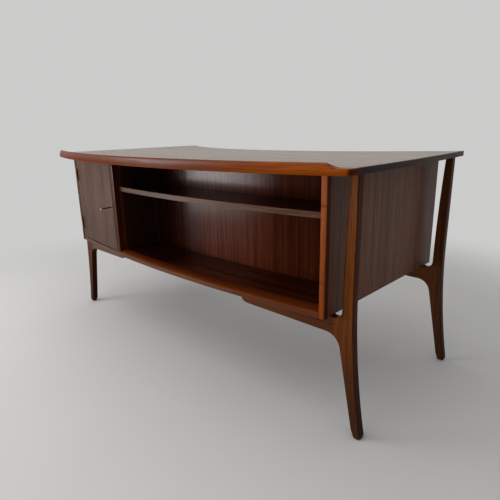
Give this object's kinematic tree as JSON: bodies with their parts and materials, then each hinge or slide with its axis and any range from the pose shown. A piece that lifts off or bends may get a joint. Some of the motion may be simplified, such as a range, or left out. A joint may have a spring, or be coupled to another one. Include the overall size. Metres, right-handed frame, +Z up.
{
  "type": "executive desk",
  "caption": "Executive desk with a bowed, lipped top on splayed legs; visitor side with open bookcase and locking cabinet door, user side with kneehole and curved drawers.",
  "frame": {"origin": "on the floor under the middle of the desk's box", "axes": "+X along the desk to the visitor's right, +Y from the visitor to the user, +Z up"},
  "size_m": [1.546, 0.88, 0.753],
  "materials": {
    "veneer": "satin",
    "solid_edge_wood": "satin",
    "leg_wood": "satin",
    "drawer_wood": "matt",
    "brass": "aged satin",
    "steel": "plain"
  },
  "bodies": {
    "desk": {"arm_dowels": "drawer_wood", "bookcase_back": "veneer", "bookcase_bottom": "veneer", "bookcase_shelf": "veneer", "bottom_edging": "solid_edge_wood", "cabinet_back": "veneer", "divider_stile": "solid_edge_wood", "door_sill": "solid_edge_wood", "front_lip": "solid_edge_wood", "hinge_frame_leaves": "brass", "hinge_pins": "brass", "left_end_edging": "solid_edge_wood", "left_front_leg": "leg_wood", "left_front_rail": "leg_wood", "left_partition": "veneer", "left_pedestal_bottom": "veneer", "left_rear_leg": "leg_wood", "left_rear_rail": "leg_wood", "left_runners": "drawer_wood", "left_side_panel": "veneer", "left_stile": "solid_edge_wood", "rail_screws": "steel", "rear_edging": "solid_edge_wood", "right_end_edging": "solid_edge_wood", "right_front_leg": "leg_wood", "right_front_rail": "leg_wood", "right_partition": "veneer", "right_pedestal_bottom": "veneer", "right_rear_leg": "leg_wood", "right_rear_rail": "leg_wood", "right_runners": "drawer_wood", "right_side_panel": "veneer", "right_stile": "solid_edge_wood", "shelf_pins": "brass", "strike_plate": "brass", "top_panel": "veneer"},
    "cabinet_door": {"door_panel": "veneer", "hinge_door_leaves": "brass", "lock_case": "brass", "lock_escutcheon": "brass"},
    "key": {"door_key": "brass"},
    "bolt": {"lock_bolt": "brass"},
    "left_low_drawer": {"left_low_drawer_front": "veneer", "left_low_drawer_box": "drawer_wood", "left_low_drawer_bottom": "drawer_wood"},
    "left_middle_drawer": {"left_middle_drawer_front": "veneer", "left_middle_drawer_box": "drawer_wood", "left_middle_drawer_bottom": "drawer_wood"},
    "left_high_drawer": {"left_high_drawer_front": "veneer", "left_high_drawer_box": "drawer_wood", "left_high_drawer_bottom": "drawer_wood"},
    "right_low_drawer": {"right_low_drawer_front": "veneer", "right_low_drawer_box": "drawer_wood", "right_low_drawer_bottom": "drawer_wood"},
    "right_middle_drawer": {"right_middle_drawer_front": "veneer", "right_middle_drawer_box": "drawer_wood", "right_middle_drawer_bottom": "drawer_wood"},
    "right_high_drawer": {"right_high_drawer_front": "veneer", "right_high_drawer_box": "drawer_wood", "right_high_drawer_bottom": "drawer_wood"}
  },
  "joints": [
    {"name": "door_hinge", "type": "hinge", "parent": "desk", "child": "cabinet_door", "pos_m": [-0.6553, -0.29755, 0.538], "axis": [0, 0, -1], "range_deg": [0, 110]},
    {"name": "key_turn", "type": "hinge", "parent": "cabinet_door", "child": "key", "pos_m": [-0.325, -0.32635, 0.538], "axis": [-0.0977, -0.9952, 0], "range_deg": [0, 90]},
    {"name": "bolt_slide", "type": "slide", "parent": "cabinet_door", "child": "bolt", "axis": [0.9952, -0.0977, 0], "range_m": [0, 0.009]},
    {"name": "left_low_drawer_slide", "type": "slide", "parent": "desk", "child": "left_low_drawer", "axis": [0, 1, 0], "range_m": [0, 0.22]},
    {"name": "left_middle_drawer_slide", "type": "slide", "parent": "desk", "child": "left_middle_drawer", "axis": [0, 1, 0], "range_m": [0, 0.22]},
    {"name": "left_high_drawer_slide", "type": "slide", "parent": "desk", "child": "left_high_drawer", "axis": [0, 1, 0], "range_m": [0, 0.22]},
    {"name": "right_low_drawer_slide", "type": "slide", "parent": "desk", "child": "right_low_drawer", "axis": [0, 1, 0], "range_m": [0, 0.22]},
    {"name": "right_middle_drawer_slide", "type": "slide", "parent": "desk", "child": "right_middle_drawer", "axis": [0, 1, 0], "range_m": [0, 0.22]},
    {"name": "right_high_drawer_slide", "type": "slide", "parent": "desk", "child": "right_high_drawer", "axis": [0, 1, 0], "range_m": [0, 0.22]}
  ],
  "couplings": [
    {"joint": "key_turn", "follows": "bolt_slide", "rad_per_m": 174.53}
  ]
}
